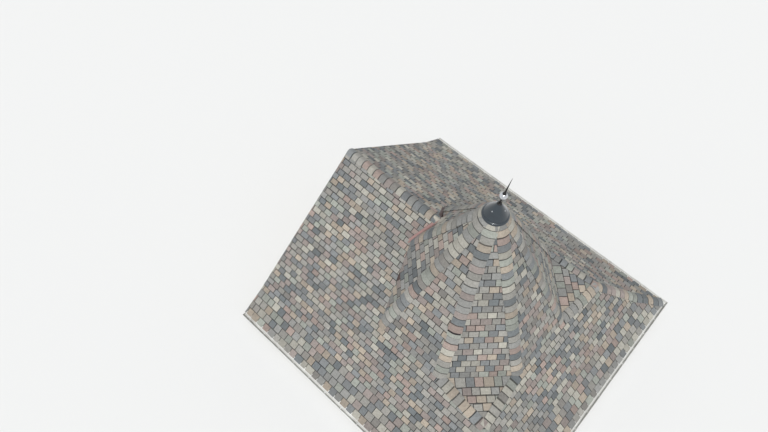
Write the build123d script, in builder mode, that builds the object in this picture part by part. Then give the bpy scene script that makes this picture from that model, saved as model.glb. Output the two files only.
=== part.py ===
from build123d import *
from math import atan2, cos, degrees, hypot, radians, sin, tan
import os

# Turret roof: an octagonal spire that stands on the hip-ended roof of a short wing.
# The spire's axis is the Z axis, the wing runs towards -X and its hipped end faces +X.
# Millimetres and degrees. Z = 0 is the underside of the wall heads.

# Roof form. Reaches go out level from the axis to the top face of the decks.
ring_reach = 2450.0
eave_reach = 4360.0
flare_run = 710.0
skirt_spread = 150.0
spire_pitch = 61.0
main_pitch = 40.5
flare_pitch = 34.0

# Decks and framing
deck_thickness = 18.0
rafter_depth = 140.0
rafter_width = 38.0
main_rafter_spacing = 610.0
spire_rafter_spacing = 560.0
sprocket_depth = 90.0
hip_rafter_width = 50.0
valley_rafter_width = 60.0
ring_beam_width = 90.0
ring_beam_depth = 300.0
ridge_beam_width = 44.0
ridge_beam_depth = 235.0
king_post_reach = 120.0
king_post_pin_radius = 36.0
king_beam_width = 140.0
king_beam_depth = 240.0
joist_depth = 140.0
joist_width = 38.0
joist_spacing = 610.0

# Wall heads, ceiling and eaves
wall_overhang = 560.0
wall_thickness = 140.0
frieze_height = 130.0
ceiling_rise = 12.0
ceiling_thickness = 12.0
fascia_thickness = 25.0
fascia_depth = 180.0
soffit_thickness = 12.0
soffit_rise = 10.0
gutter_width = 125.0
gutter_depth = 90.0
gutter_floor_width = 70.0
gutter_metal = 3.0
gutter_drop = 30.0
gutter_lip = 14.0

# Metalwork and finial
flashing_width = 75.0
flashing_rise = 6.0
cap_clearance = 25.0
cap_rim_radius = 275.0
cap_top_radius = 57.0
cap_metal = 6.0
cap_lip = 12.0
collar_radius = 55.0
collar_height = 60.0
collar_waist_radius = 34.0
neck_height = 150.0
neck_radius = 21.0
ball_radius = 92.0
ball_seat_radius = 24.0
spike_base_radius = 46.0
spike_base_height = 70.0
spike_radius = 20.0
spike_tip_radius = 3.0
spike_height = 560.0
finial_lean = 4.5
finial_lean_azimuth = 45.0

# Levels, worked out upwards from the wall heads
eighth = tan(radians(22.5))
deck_drop_main = deck_thickness / cos(radians(main_pitch))
deck_drop_flare = deck_thickness / cos(radians(flare_pitch))
deck_drop_spire = deck_thickness / cos(radians(spire_pitch))
break_reach = eave_reach - flare_run
skirt_corner_reach = ring_reach + skirt_spread
eave_level = frieze_height + fascia_depth + deck_drop_flare
break_level = eave_level + flare_run * tan(radians(flare_pitch))
ring_level = break_level + (break_reach - ring_reach) * tan(radians(main_pitch))
ridge_level = break_level + break_reach * tan(radians(main_pitch))
apex_level = ring_level + ring_reach * tan(radians(spire_pitch))
sky_level = apex_level + ring_reach
diagonal = hypot(1, 1)
wall_outer = eave_reach - wall_overhang
wall_inner = wall_outer - wall_thickness
beam_inner = ring_reach - ring_beam_width
fascia_back = eave_reach - fascia_thickness
rear_reach = eave_reach + gutter_width
end_wall_face = rear_reach - wall_thickness
soffit_level = frieze_height + soffit_rise

# Azimuths: 0 faces +X, and they turn towards +Y
spire_facets = {"east": 0, "northeast": 45, "north": 90, "northwest": 135,
                "west": 180, "southwest": 225, "south": 270, "southeast": 315}
eave_sides = {"south": 270, "east": 0, "north": 90}
skirt_sides = {"southeast": 315, "northeast": 45}


def slope_plane(azimuth, pitch, reach, level):
    """Top face of a roof plane that faces azimuth and has this level at this reach."""
    turn, tilt = radians(azimuth), radians(pitch)
    out = Vector(cos(turn), sin(turn), 0)
    return Plane(origin=out * reach + Vector(0, 0, level),
                 x_dir=(-sin(turn), cos(turn), 0),
                 z_dir=(sin(tilt) * out.X, sin(tilt) * out.Y, cos(tilt)))


def level_on(plane, point):
    """Level of a sloping plane over a point of the plan."""
    across = plane.z_dir.X * (point[0] - plane.origin.X) + plane.z_dir.Y * (point[1] - plane.origin.Y)
    return plane.origin.Z - across / plane.z_dir.Z


def turned(points, azimuth):
    """Plan points (outward, along) of a side, turned to the side's azimuth."""
    turn = radians(azimuth)
    return [(x * cos(turn) - y * sin(turn), x * sin(turn) + y * cos(turn)) for x, y in points]


def mirrored(points):
    """The same plan points on the other side of the wing's ridge."""
    return [(x, -y) for x, y in points]


def side_line(points, distance):
    """Line beside a plan line, to its left, with its bends mitred."""
    normals = []
    for start, end in zip(points, points[1:]):
        length = hypot(end[0] - start[0], end[1] - start[1])
        normals.append(Vector(-(end[1] - start[1]) / length, (end[0] - start[0]) / length, 0))
    shifted = []
    for place, point in enumerate(points):
        before = normals[max(place - 1, 0)]
        after = normals[min(place, len(normals) - 1)]
        offset = (before + after) * (distance / (1 + before.dot(after)))
        shifted.append((point[0] + offset.X, point[1] + offset.Y))
    return shifted


# Roof planes, given by their top faces
spire_top = {name: slope_plane(azimuth, spire_pitch, ring_reach, ring_level)
             for name, azimuth in spire_facets.items()}
main_top = {name: slope_plane(azimuth, main_pitch, break_reach, break_level)
            for name, azimuth in eave_sides.items()}
flare_top = {name: slope_plane(azimuth, flare_pitch, eave_reach, eave_level)
             for name, azimuth in eave_sides.items()}
skirt_drop = skirt_spread * tan(radians(main_pitch))
skirt_pitch = degrees(atan2(skirt_drop, skirt_corner_reach * diagonal - ring_reach))
skirt_top = {name: slope_plane(azimuth, skirt_pitch, ring_reach, ring_level)
             for name, azimuth in skirt_sides.items()}
skirt_thickness = deck_drop_spire * cos(radians(skirt_pitch))

# Plan of the valleys where the spire stands in the wing's roof, from south to north
ring_corner = ring_reach * eighth
valley_share = ((tan(radians(spire_pitch)) - tan(radians(main_pitch)))
                / (tan(radians(spire_pitch)) - eighth * tan(radians(main_pitch))))
valley_bend = (-valley_share * ring_reach, -valley_share * ring_corner)
valley_head = (-ring_reach * (1 - tan(radians(main_pitch)) / tan(radians(spire_pitch))), 0)
valley_foot = (-ring_corner, -ring_reach)
valley_line = [valley_foot, valley_bend, valley_head, *mirrored([valley_bend, valley_foot])]
valley_half = valley_rafter_width / 2
valley_west = side_line(valley_line, valley_half)
valley_east = side_line(valley_line, -valley_half)
east_of_valley = [*valley_east, (ring_reach, ring_reach), (ring_reach, -ring_reach)]


# Undersides of the decks, where the framing meets them
spire_under = {name: plane.offset(-deck_thickness) for name, plane in spire_top.items()}
main_under = {name: plane.offset(-deck_thickness) for name, plane in main_top.items()}
flare_under = {name: plane.offset(-deck_thickness) for name, plane in flare_top.items()}
skirt_under = {name: plane.offset(-skirt_thickness) for name, plane in skirt_top.items()}
rafter_drop = rafter_depth / cos(radians(main_pitch))
hip_half = hip_rafter_width / 2 * diagonal
spire_hip_share = hip_rafter_width / 2 / cos(radians(22.5))


def bevelled(outlines, over, under):
    """Solid over the plan that all outlines share, below the planes over it and above those under it."""
    with BuildPart() as solid:
        with BuildSketch():
            Polygon(*outlines[0])
            for outline in outlines[1:]:
                Polygon(*outline, mode=Mode.INTERSECT)
        extrude(amount=sky_level)
        for plane in over:
            split(bisect_by=plane, keep=Keep.BOTTOM)
        for plane in under:
            split(bisect_by=plane, keep=Keep.TOP)
    return solid


def board(outline, top, thickness):
    """Board of even thickness: its plan is outline and its upper face is top."""
    return bevelled([outline], [top], [top.offset(-thickness)])


def raised(outlines, deck):
    """Sheet on a deck: its upper face lies plumb above the deck's by the flashing's rise."""
    over = Plane(origin=deck.origin + Vector(0, 0, flashing_rise), x_dir=deck.x_dir, z_dir=deck.z_dir)
    return bevelled(outlines, [over], [deck])


def rafter_row(azimuth, outlines, spacing, over, under):
    """Row of rafters that run down a slope, within plans given as outward and along."""
    with BuildPart() as row:
        with BuildSketch(Plane.XY.rotated((0, 0, azimuth))):
            with GridLocations(0, spacing, 1, 2 * int(rear_reach / spacing) + 1):
                Rectangle(2 * rear_reach, rafter_width)
            for outline in outlines:
                Polygon(*outline, mode=Mode.INTERSECT)
        extrude(amount=sky_level)
        for plane in over:
            split(bisect_by=plane, keep=Keep.BOTTOM)
        for plane in under:
            split(bisect_by=plane, keep=Keep.TOP)
    return row


def sloping_floor(start, end, start_level, end_level):
    """Plane through a sloping line, level from side to side."""
    run = Vector(end[0] - start[0], end[1] - start[1], end_level - start_level)
    across = Vector(0, 0, 1).cross(run)
    return Plane(origin=(start[0], start[1], start_level), x_dir=run, z_dir=run.cross(across))


def finish(name, work):
    """Label a finished piece and write its file."""
    work.part.label = name
    export_step(work.part, f"parts/{name}.step")


os.makedirs("parts", exist_ok=True)

# Wall heads: the tops of three walls, bevelled to carry the rafters
for side, azimuth in eave_sides.items():
    start = -end_wall_face if side == "south" else None
    end = end_wall_face if side == "north" else None
    outline = [(wall_outer, start or -wall_outer), (wall_outer, end or wall_outer),
               (wall_inner, end or wall_inner), (wall_inner, start or -wall_inner)]
    wall_head = bevelled([turned(outline, azimuth)], [main_under[side].offset(-rafter_depth)], [])
    finish(f"wall_head_{side}", wall_head)

# End wall: closes the wing and its eaves where the roof is cut, up to the decks
flare_end_level = level_on(flare_under["east"], (fascia_back, 0))
half_profile = [(wall_outer, 0), (wall_outer, soffit_level), (fascia_back, soffit_level),
                (fascia_back, flare_end_level), (break_reach, break_level - deck_drop_flare),
                (break_reach, break_level - deck_drop_main), (0, ridge_level - deck_drop_main)]
with BuildPart() as end_wall:
    with BuildSketch(Plane.YZ.offset(-rear_reach)):
        Polygon(*half_profile, *[(-y, z) for y, z in reversed(half_profile[:-1])])
    extrude(amount=wall_thickness)
finish("end_wall", end_wall)

# Ceiling: one board between the walls, just above the base, with its joists on it
ceiling_top = ceiling_rise + ceiling_thickness
with BuildPart() as ceiling:
    with BuildSketch(Plane.XY.offset(ceiling_rise)):
        with Locations(((wall_inner - end_wall_face) / 2, 0)):
            Rectangle(wall_inner + end_wall_face, 2 * wall_inner)
    extrude(amount=ceiling_thickness)
finish("ceiling", ceiling)

joist_count = int((wall_inner - joist_width) / joist_spacing)
joist_places = [place * joist_spacing for place in range(-joist_count, joist_count + 1) if place]
with BuildPart() as ceiling_joists:
    with BuildSketch(Plane.XY.offset(ceiling_top)):
        with Locations(*[(place, 0) for place in joist_places]):
            Rectangle(joist_width, 2 * wall_inner)
    extrude(amount=joist_depth)
finish("ceiling_joists", ceiling_joists)

with BuildPart() as king_beam:
    with BuildSketch(Plane.XY.offset(ceiling_top)):
        Rectangle(king_beam_width, 2 * wall_inner)
    extrude(amount=king_beam_depth)
finish("king_beam", king_beam)

# Cap: a sheet-metal cone over the apex, with a turned-down lip and a flat top
hip_rise = tan(radians(spire_pitch)) * cos(radians(22.5))
cap_sheet_drop = cap_metal * hypot(1, hip_rise)


def cap_level(radius):
    """Level of the cap's outer cone at a radius."""
    return apex_level + (cap_clearance - radius) * hip_rise


cap_rim_level = cap_level(cap_rim_radius)
cap_seat_level = cap_level(cap_top_radius) - cap_sheet_drop
with BuildPart() as metal_cap:
    with BuildSketch(Plane.XZ):
        with BuildLine():
            Polyline((0, cap_level(cap_top_radius)), (cap_top_radius, cap_level(cap_top_radius)),
                     (cap_rim_radius, cap_rim_level), (cap_rim_radius, cap_rim_level - cap_lip),
                     (cap_rim_radius - cap_metal, cap_rim_level - cap_lip),
                     (cap_rim_radius - cap_metal, cap_level(cap_rim_radius - cap_metal) - cap_sheet_drop),
                     (cap_top_radius, cap_seat_level), (0, cap_seat_level), close=True)
        make_face()
    revolve(axis=Axis.Z)
finish("metal_cap", metal_cap)

# King post: an octagonal post under the apex, with a pin that carries the cap
post_foot_level = ceiling_top + king_beam_depth
post_top_level = cap_level((king_post_reach + cap_metal) / cos(radians(22.5))) - cap_sheet_drop
with BuildPart() as king_post:
    with BuildSketch(Plane.XY.offset(post_foot_level)):
        RegularPolygon(king_post_reach, 8, major_radius=False, rotation=22.5)
    extrude(amount=post_top_level - post_foot_level)
    with BuildSketch(Plane.XY.offset(post_top_level)):
        Circle(king_post_pin_radius)
    extrude(amount=cap_seat_level - post_top_level)
finish("king_post", king_post)

# Ring beams: three beams under the pitch break, each length bevelled to the deck above it.
# The south and north ones run on to the end wall as purlins.
beam_corner = beam_inner * eighth
valley_slant = (valley_bend[0] - valley_foot[0]) / (valley_bend[1] - valley_foot[1])
valley_at_beam = valley_foot[0] + valley_slant * ring_beam_width
ring_floor = Plane.XY.offset(ring_level - deck_drop_spire - ring_beam_depth)
middle_length = [(ring_reach, -ring_corner), (ring_reach, ring_corner),
                 (beam_inner, beam_corner), (beam_inner, -beam_corner)]


def corner_length(sign):
    """Plan of the length of ring beam beyond one corner of the octagon."""
    return [(ring_reach, sign * ring_corner), (ring_reach, sign * ring_reach),
            (beam_inner, sign * beam_inner), (beam_inner, sign * beam_corner)]


with BuildPart() as ring_beam_east:
    add(bevelled([middle_length], [spire_under["east"]], [ring_floor]).part)
    for corner, sign in (("southeast", -1), ("northeast", 1)):
        add(bevelled([corner_length(sign)], [skirt_under[corner]], [ring_floor]).part)
finish("ring_beam_east", ring_beam_east)

for side, sign in (("south", 1), ("north", -1)):
    azimuth = eave_sides[side]
    valley_length = [(ring_reach, -sign * ring_corner), (beam_inner, -sign * beam_corner),
                     (beam_inner, sign * valley_at_beam)]
    purlin_length = [(ring_reach, -sign * ring_corner), (beam_inner, sign * valley_at_beam),
                     (beam_inner, -sign * end_wall_face), (ring_reach, -sign * end_wall_face)]
    with BuildPart() as ring_beam:
        for outline, top in ((middle_length, spire_under[side]),
                             (corner_length(sign), skirt_under[f"{side}east"]),
                             (valley_length, spire_under[f"{side}west"]),
                             (purlin_length, main_under[side])):
            add(bevelled([turned(outline, azimuth)], [top], [ring_floor]).part)
    finish(f"ring_beam_{side}", ring_beam)

# Corner beams carry the spire's foot across the corners of the square
beam_meeting = ring_reach * diagonal - beam_inner
with BuildPart() as corner_beams:
    for corner, sign in (("southeast", -1), ("northeast", 1)):
        outline = [(beam_inner, beam_corner), (beam_inner, beam_meeting),
                   (beam_meeting, beam_inner), (beam_corner, beam_inner)]
        add(bevelled([[(x, sign * y) for x, y in outline]], [spire_under[corner]], [ring_floor]).part)
finish("corner_beams", corner_beams)


def half_strip(inner, outer, face, sign):
    """Plan of half a hip rafter of the main roof, between two reaches."""
    strip = [(inner, inner), (outer, outer), (outer, outer - hip_half), (inner, inner - hip_half)]
    return [(x, sign * y) if face == "east" else (y, sign * x) for x, y in strip]


# Main hip rafters: from the corners of the walls to the ring beams, and a short one
# on the foot of each that carries the flared eave
with BuildPart() as hip_rafters:
    for corner, side, sign in (("southeast", "south", -1), ("northeast", "north", 1)):
        hip_floor = sloping_floor((ring_reach, sign * ring_reach), (wall_outer, sign * wall_outer),
                                  ring_level - deck_drop_main - rafter_drop,
                                  level_on(main_under["east"], (wall_outer, 0)) - rafter_drop)
        for face in ("east", side):
            add(bevelled([half_strip(ring_reach, wall_outer, face, sign)],
                         [main_under[face], skirt_under[corner]], [hip_floor]).part)
            add(bevelled([half_strip(break_reach, fascia_back, face, sign)], [flare_under[face]],
                         [flare_under[face].offset(-sprocket_depth), main_under[face]]).part)
finish("hip_rafters", hip_rafters)

# Main rafters from the wall heads to the ring beams, with sprockets on their feet
for side, azimuth in eave_sides.items():
    start = -end_wall_face if side == "south" else None
    end = end_wall_face if side == "north" else None
    skirts = [skirt_under[name] for name in skirt_sides if side == "east" or name.startswith(side)]
    slope = [(wall_outer, start or hip_half - wall_outer), (wall_outer, end or wall_outer - hip_half),
             (ring_reach, end or ring_reach - hip_half), (ring_reach, start or hip_half - ring_reach)]
    eave = [(fascia_back, start or hip_half - fascia_back), (fascia_back, end or fascia_back - hip_half),
            (break_reach, end or break_reach - hip_half), (break_reach, start or hip_half - break_reach)]
    with BuildPart() as main_rafters:
        add(rafter_row(azimuth, [slope], main_rafter_spacing, [main_under[side], *skirts],
                       [main_under[side].offset(-rafter_depth)]).part)
        add(rafter_row(azimuth, [eave], main_rafter_spacing, [flare_under[side]],
                       [flare_under[side].offset(-sprocket_depth), main_under[side]]).part)
    finish(f"main_rafters_{side}", main_rafters)

# Wing: a ridge beam from the end wall to the spire, and rafters from the purlins up to it
ridge_half = ridge_beam_width / 2
wing_plan = [*valley_west, (-end_wall_face, ring_reach), (-end_wall_face, -ring_reach)]
ridge_floor = Plane.XY.offset(ridge_level - deck_drop_main - ridge_beam_depth)
with BuildPart() as ridge_beam:
    for side, sign in (("south", -1), ("north", 1)):
        strip = [(0, 0), (0, sign * ridge_half), (-end_wall_face, sign * ridge_half), (-end_wall_face, 0)]
        add(bevelled([strip, wing_plan], [main_under[side]], [ridge_floor]).part)
finish("ridge_beam", ridge_beam)

with BuildPart() as wing_rafters:
    for side in ("south", "north"):
        slope = [(beam_inner, -rear_reach), (beam_inner, rear_reach),
                 (ridge_half, rear_reach), (ridge_half, -rear_reach)]
        add(rafter_row(eave_sides[side], [slope, turned(wing_plan, -eave_sides[side])], main_rafter_spacing,
                       [main_under[side]], [main_under[side].offset(-rafter_depth)]).part)
finish("wing_rafters", wing_rafters)

# Valley rafters: two lengths each side, bevelled to the planes on both sides of the valley
beam_square = [(-beam_inner, -beam_inner), (beam_inner, -beam_inner), (beam_inner, beam_inner),
               (-beam_inner, beam_inner)]
with BuildPart() as valley_rafters:
    for side, sign in (("south", 1), ("north", -1)):
        line, west_edge, east_edge = [[(x, sign * y) for x, y in points]
                                      for points in (valley_line, valley_west, valley_east)]
        spire_side = [spire_under[f"{side}west"], spire_under["west"]]
        for place in (0, 1):
            start, end = line[place], line[place + 1]
            valley_floor = sloping_floor(start, end, level_on(main_under[side], start) - rafter_drop,
                                         level_on(main_under[side], end) - rafter_drop)
            for edge, over in ((west_edge, [main_under[side]]), (east_edge, spire_side)):
                strip = [edge[place], start, end, edge[place + 1]]
                add(bevelled([strip, beam_square], over, [valley_floor]).part)
finish("valley_rafters", valley_rafters)


def hip_point(azimuth, reach):
    """Plan point on a hip of the spire, at the corner of an octagon with this reach."""
    corner = reach / cos(radians(22.5))
    return (corner * cos(radians(azimuth)), corner * sin(radians(azimuth)))


# Spire hip rafters: eight, from the king post down to the ring beams or the valley rafters
beam_octagon = [hip_point(22.5 + 45 * place, beam_inner) for place in range(8)]
post_corner = king_post_reach / cos(radians(22.5))
half_width = hip_rafter_width / 2
with BuildPart() as spire_hip_rafters:
    for name, azimuth in spire_facets.items():
        for sign in (-1, 1):
            strip = [(post_corner, 0), (ring_reach, 0), (ring_reach, -sign * half_width),
                     (post_corner - half_width * eighth, -sign * half_width)]
            add(bevelled([turned(strip, azimuth + sign * 22.5), beam_octagon, east_of_valley],
                         [spire_under[name]], [spire_under[name].offset(-rafter_depth)]).part)
finish("spire_hip_rafters", spire_hip_rafters)

# Spire rafters: a row behind each facet, between its hip rafters
with BuildPart() as spire_rafters:
    for name, azimuth in spire_facets.items():
        inner_half = king_post_reach * eighth - spire_hip_share
        outer_half = beam_corner - spire_hip_share
        facet_plan = [(king_post_reach, -inner_half), (beam_inner, -outer_half),
                      (beam_inner, outer_half), (king_post_reach, inner_half)]
        add(rafter_row(azimuth, [facet_plan, turned(east_of_valley, -azimuth)], spire_rafter_spacing,
                       [spire_under[name]], [spire_under[name].offset(-rafter_depth)]).part)
finish("spire_rafters", spire_rafters)

# Spire decks: eight mitred boards. The three at the back stop at the valleys.
facet_plans = {}
for name, azimuth in spire_facets.items():
    facet_plans[name] = [hip_point(azimuth - 22.5, king_post_reach), hip_point(azimuth - 22.5, ring_reach),
                         hip_point(azimuth + 22.5, ring_reach), hip_point(azimuth + 22.5, king_post_reach)]
facet_plans["southwest"] = [hip_point(202.5, king_post_reach), valley_bend, valley_foot,
                            hip_point(247.5, king_post_reach)]
facet_plans["northwest"] = mirrored(facet_plans["southwest"])
facet_plans["west"] = [hip_point(157.5, king_post_reach), *mirrored([valley_bend]), valley_head,
                       valley_bend, hip_point(202.5, king_post_reach)]
for name, outline in facet_plans.items():
    finish(f"spire_deck_{name}", board(outline, spire_top[name], deck_thickness))

# Skirt decks: low triangles that bring the spire's corners out to the main hips
skirt_tip = (skirt_corner_reach, skirt_corner_reach)
for corner, sign in (("southeast", -1), ("northeast", 1)):
    triangle = [(ring_corner, ring_reach), (ring_reach, ring_corner), skirt_tip]
    skirt_deck = board([(x, sign * y) for x, y in triangle], skirt_top[corner], skirt_thickness)
    finish(f"skirt_deck_{corner}", skirt_deck)

# Main decks: the east one under the spire, and the two slopes of the wing
east_outline = [(break_reach, -break_reach), (break_reach, break_reach), skirt_tip,
                (ring_reach, ring_corner), (ring_reach, -ring_corner), *mirrored([skirt_tip])]
finish("main_deck_east", board(east_outline, main_top["east"], deck_thickness))
wing_outline = [(-rear_reach, break_reach), (break_reach, break_reach), skirt_tip, (ring_corner, ring_reach),
                *mirrored([valley_foot, valley_bend]), valley_head, (-rear_reach, 0)]
finish("main_deck_north", board(wing_outline, main_top["north"], deck_thickness))
finish("main_deck_south", board(mirrored(wing_outline), main_top["south"], deck_thickness))

# Flared eaves: flare decks, fascias, soffits and gutters, mitred at the two east corners
gutter_top = eave_level - gutter_drop
inner_floor = gutter_metal - gutter_depth
front_bend = [(1, 0.35), (0.25, 1)]


def eave_plan(side, inner, outer, end):
    """Plan of a strip along one eave, mitred at the hips and stopped where the roof is cut."""
    low, high = -outer, outer
    low_inner, high_inner = -inner, inner
    if side == "south":
        low = low_inner = -end
    if side == "north":
        high = high_inner = end
    return turned([(inner, low_inner), (outer, low), (outer, high), (inner, high_inner)], eave_sides[side])


def gutter_run(side, start, length, closed):
    """Length of gutter with square ends, hollow or solid, before it is mitred."""
    out = Vector(1, 0, 0).rotate(Axis.Z, eave_sides[side])
    along = Vector(0, 0, 1).cross(out)
    place = out * eave_reach + along * start + Vector(0, 0, gutter_top)
    front_inside = gutter_width - gutter_metal
    with BuildPart() as run:
        with BuildSketch(Plane(origin=place, x_dir=out, z_dir=-along)):
            with BuildLine():
                Polyline((0, 0), (0, -gutter_depth), (gutter_floor_width, -gutter_depth))
                Spline((gutter_floor_width, -gutter_depth), (gutter_width, -gutter_lip), tangents=front_bend)
                Line((gutter_width, -gutter_lip), (gutter_width, 0))
                if closed:
                    Line((gutter_width, 0), (0, 0))
                else:
                    Polyline((gutter_width, 0), (front_inside, 0), (front_inside, -gutter_lip))
                    Spline((front_inside, -gutter_lip), (gutter_floor_width, inner_floor),
                           tangents=[(-x, -y) for x, y in reversed(front_bend)])
                    Polyline((gutter_floor_width, inner_floor), (gutter_metal, inner_floor),
                             (gutter_metal, 0), (0, 0))
            make_face()
        extrude(amount=-length)
    return run


hip_cuts = {"southeast": Plane(origin=(0, 0, 0), z_dir=(1, 1, 0)),
            "northeast": Plane(origin=(0, 0, 0), z_dir=(1, -1, 0))}
gutter_ends = {"south": -rear_reach, "north": rear_reach - gutter_metal}
for side in eave_sides:
    flare_plan = eave_plan(side, break_reach, eave_reach, rear_reach)
    finish(f"flare_deck_{side}", board(flare_plan, flare_top[side], deck_thickness))
    fascia_plan = eave_plan(side, fascia_back, eave_reach, rear_reach)
    fascia = bevelled([fascia_plan], [flare_under[side]], [Plane.XY.offset(frieze_height)])
    finish(f"fascia_{side}", fascia)
    soffit_plan = eave_plan(side, wall_outer, fascia_back, end_wall_face)
    soffit_top = Plane.XY.offset(soffit_level + soffit_thickness)
    soffit = bevelled([soffit_plan], [soffit_top], [Plane.XY.offset(soffit_level)])
    finish(f"soffit_{side}", soffit)
    with BuildPart() as gutter:
        add(gutter_run(side, -rear_reach, 2 * rear_reach, False).part)
        for corner, cut in hip_cuts.items():
            if side == "east":
                split(bisect_by=cut, keep=Keep.TOP)
            elif corner.startswith(side):
                split(bisect_by=cut, keep=Keep.BOTTOM)
        if side in gutter_ends:
            add(gutter_run(side, gutter_ends[side], gutter_metal, True).part)
    finish(f"gutter_{side}", gutter)

# Valley flashings: sheet metal on the decks, on both sides of each valley
flashing_west = side_line(valley_line, flashing_width)
flashing_east = side_line(valley_line, -flashing_width)
for side, sign in (("south", 1), ("north", -1)):
    wing_side, spire_side = [[(x, sign * y) for x, y in [*valley_line[:3], *reversed(edge[:3])]]
                             for edge in (flashing_west, flashing_east)]
    with BuildPart() as valley_flashing:
        add(raised([wing_side], main_top[side]).part)
        for facet in (f"{side}west", "west"):
            add(raised([spire_side, facet_plans[facet]], spire_top[facet]).part)
    finish(f"valley_flashing_{side}", valley_flashing)

# Finial: a collar with a thin neck on the cap, then a ball and a spike on an axis that leans
lean = radians(finial_lean)
lean_turn = radians(finial_lean_azimuth)
collar_foot = cap_level(cap_top_radius)
lean_top = Plane(origin=(0, 0, collar_foot + collar_height),
                 x_dir=(-sin(lean_turn), cos(lean_turn), 0),
                 z_dir=(sin(lean) * cos(lean_turn), sin(lean) * sin(lean_turn), cos(lean)))
lean_profile = Plane(origin=lean_top.origin, x_dir=lean_top.x_dir, z_dir=-lean_top.y_dir)
lean_axis = Axis(lean_top.origin, lean_top.z_dir)
ball_half = (ball_radius ** 2 - ball_seat_radius ** 2) ** 0.5
ball_middle = neck_height + ball_half
spike_foot = ball_middle + ball_half
waist_foot = collar_foot + collar_height / 2
waist_head = collar_foot + 2 * collar_height
with BuildPart() as finial_collar:
    with BuildSketch(Plane.XZ):
        with BuildLine():
            Polyline((collar_waist_radius, waist_head), (0, waist_head), (0, collar_foot),
                     (collar_radius, collar_foot))
            Spline((collar_radius, collar_foot), (collar_waist_radius, waist_foot), tangents=[(0, 1), (0, 1)])
            Line((collar_waist_radius, waist_foot), (collar_waist_radius, waist_head))
        make_face()
    revolve(axis=Axis.Z)
    split(bisect_by=lean_top, keep=Keep.BOTTOM)
    with BuildSketch(lean_profile):
        with Locations((neck_radius / 2, neck_height / 2)):
            Rectangle(neck_radius, neck_height)
    revolve(axis=lean_axis)
finish("finial_collar", finial_collar)

with BuildPart() as finial_ball:
    with BuildSketch(lean_profile):
        with BuildLine():
            Polyline((ball_seat_radius, spike_foot), (0, spike_foot), (0, neck_height),
                     (ball_seat_radius, neck_height))
            ThreePointArc((ball_seat_radius, neck_height), (ball_radius, ball_middle),
                          (ball_seat_radius, spike_foot))
        make_face()
    revolve(axis=lean_axis)
finish("finial_ball", finial_ball)

with BuildPart() as finial_spike:
    with BuildSketch(lean_profile):
        with BuildLine():
            Polyline((0, spike_foot), (spike_base_radius, spike_foot),
                     (spike_radius, spike_foot + spike_base_height),
                     (spike_tip_radius, spike_foot + spike_height), (0, spike_foot + spike_height), close=True)
        make_face()
    revolve(axis=lean_axis)
finish("finial_spike", finial_spike)
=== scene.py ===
import math

import bmesh
import bpy
import numpy as np
from mathutils import Matrix, Vector


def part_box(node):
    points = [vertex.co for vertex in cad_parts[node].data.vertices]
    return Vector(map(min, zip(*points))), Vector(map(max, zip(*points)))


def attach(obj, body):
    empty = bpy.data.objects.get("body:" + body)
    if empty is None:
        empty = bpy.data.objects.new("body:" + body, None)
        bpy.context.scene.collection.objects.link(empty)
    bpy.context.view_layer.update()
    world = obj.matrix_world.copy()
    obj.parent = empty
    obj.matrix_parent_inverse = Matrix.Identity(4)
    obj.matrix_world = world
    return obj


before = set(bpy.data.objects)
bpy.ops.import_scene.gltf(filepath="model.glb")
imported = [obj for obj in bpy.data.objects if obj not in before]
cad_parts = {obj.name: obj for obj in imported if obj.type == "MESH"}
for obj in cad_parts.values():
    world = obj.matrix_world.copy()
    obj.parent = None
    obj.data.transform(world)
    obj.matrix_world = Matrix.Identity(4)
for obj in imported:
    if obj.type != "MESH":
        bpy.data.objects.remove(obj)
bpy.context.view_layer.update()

rng = np.random.default_rng(57)

# The roof's form, in metres and degrees, as the frame has it. The spire's axis is Z,
# the wing runs towards -X. A reach goes out level from the axis to a deck's top face.
roof = {"ring": 2.450, "break": 3.650, "eave": 4.360, "rear": 4.485, "skirtCorner": 2.600,
        "spirePitch": 61.0, "mainPitch": 40.5, "flarePitch": 34.0, "eaveLevel": 0.3317}
spireAzimuths = {"east": 0, "northeast": 45, "north": 90, "northwest": 135,
                 "west": 180, "southwest": 225, "south": 270, "southeast": 315}
eaveAzimuths = {"south": 270, "east": 0, "north": 90}
skirtAzimuths = {"southeast": 315, "northeast": 45}
ridgeSides = {"south": -1, "north": 1}


def tangent(degreesUp):
    return math.tan(math.radians(degreesUp))


spireFall, mainFall, flareFall = [tangent(roof[key]) for key in ("spirePitch", "mainPitch",
                                                                 "flarePitch")]
halfFacet = 22.5
eighth = tangent(halfFacet)  # half a facet's width over its reach
ring, skirtCorner = roof["ring"], roof["skirtCorner"]
ringCorner = ring * eighth
breakLevel = roof["eaveLevel"] + (roof["eave"] - roof["break"]) * flareFall
ringLevel = breakLevel + (roof["break"] - ring) * mainFall
skirtLevel = ringLevel - (skirtCorner - ring) * mainFall
ridgeLevel = breakLevel + roof["break"] * mainFall

# Plan points of the south valley: foot, bend and head
valleyShare = (spireFall - mainFall) / (spireFall - eighth * mainFall)
valleyFoot = (-ringCorner, -ring)
valleyBend = (-valleyShare * ring, -valleyShare * ringCorner)
valleyHead = (-ring * (1 - mainFall / spireFall), 0.0)


def headings(azimuth):
    # Level unit vectors at an azimuth: outwards, and along to the left as seen from the axis.
    turn = math.radians(azimuth)
    return (np.array([math.cos(turn), math.sin(turn), 0.0]),
            np.array([-math.sin(turn), math.cos(turn), 0.0]))


def upBy(height):
    return np.array([0.0, 0.0, height])


def makeSlope(azimuth, pitch, reach, level):
    # A roof plane: its foot line lies at this reach and level, s runs up it, a along it and
    # h off it.
    out, along = headings(azimuth)
    tilt = math.radians(pitch)
    up = upBy(math.sin(tilt)) - out * math.cos(tilt)
    return {"foot": out * reach + upBy(level), "out": out, "along": along, "up": up,
            "normal": np.cross(along, up), "reach": reach, "run": math.cos(tilt)}


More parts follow.
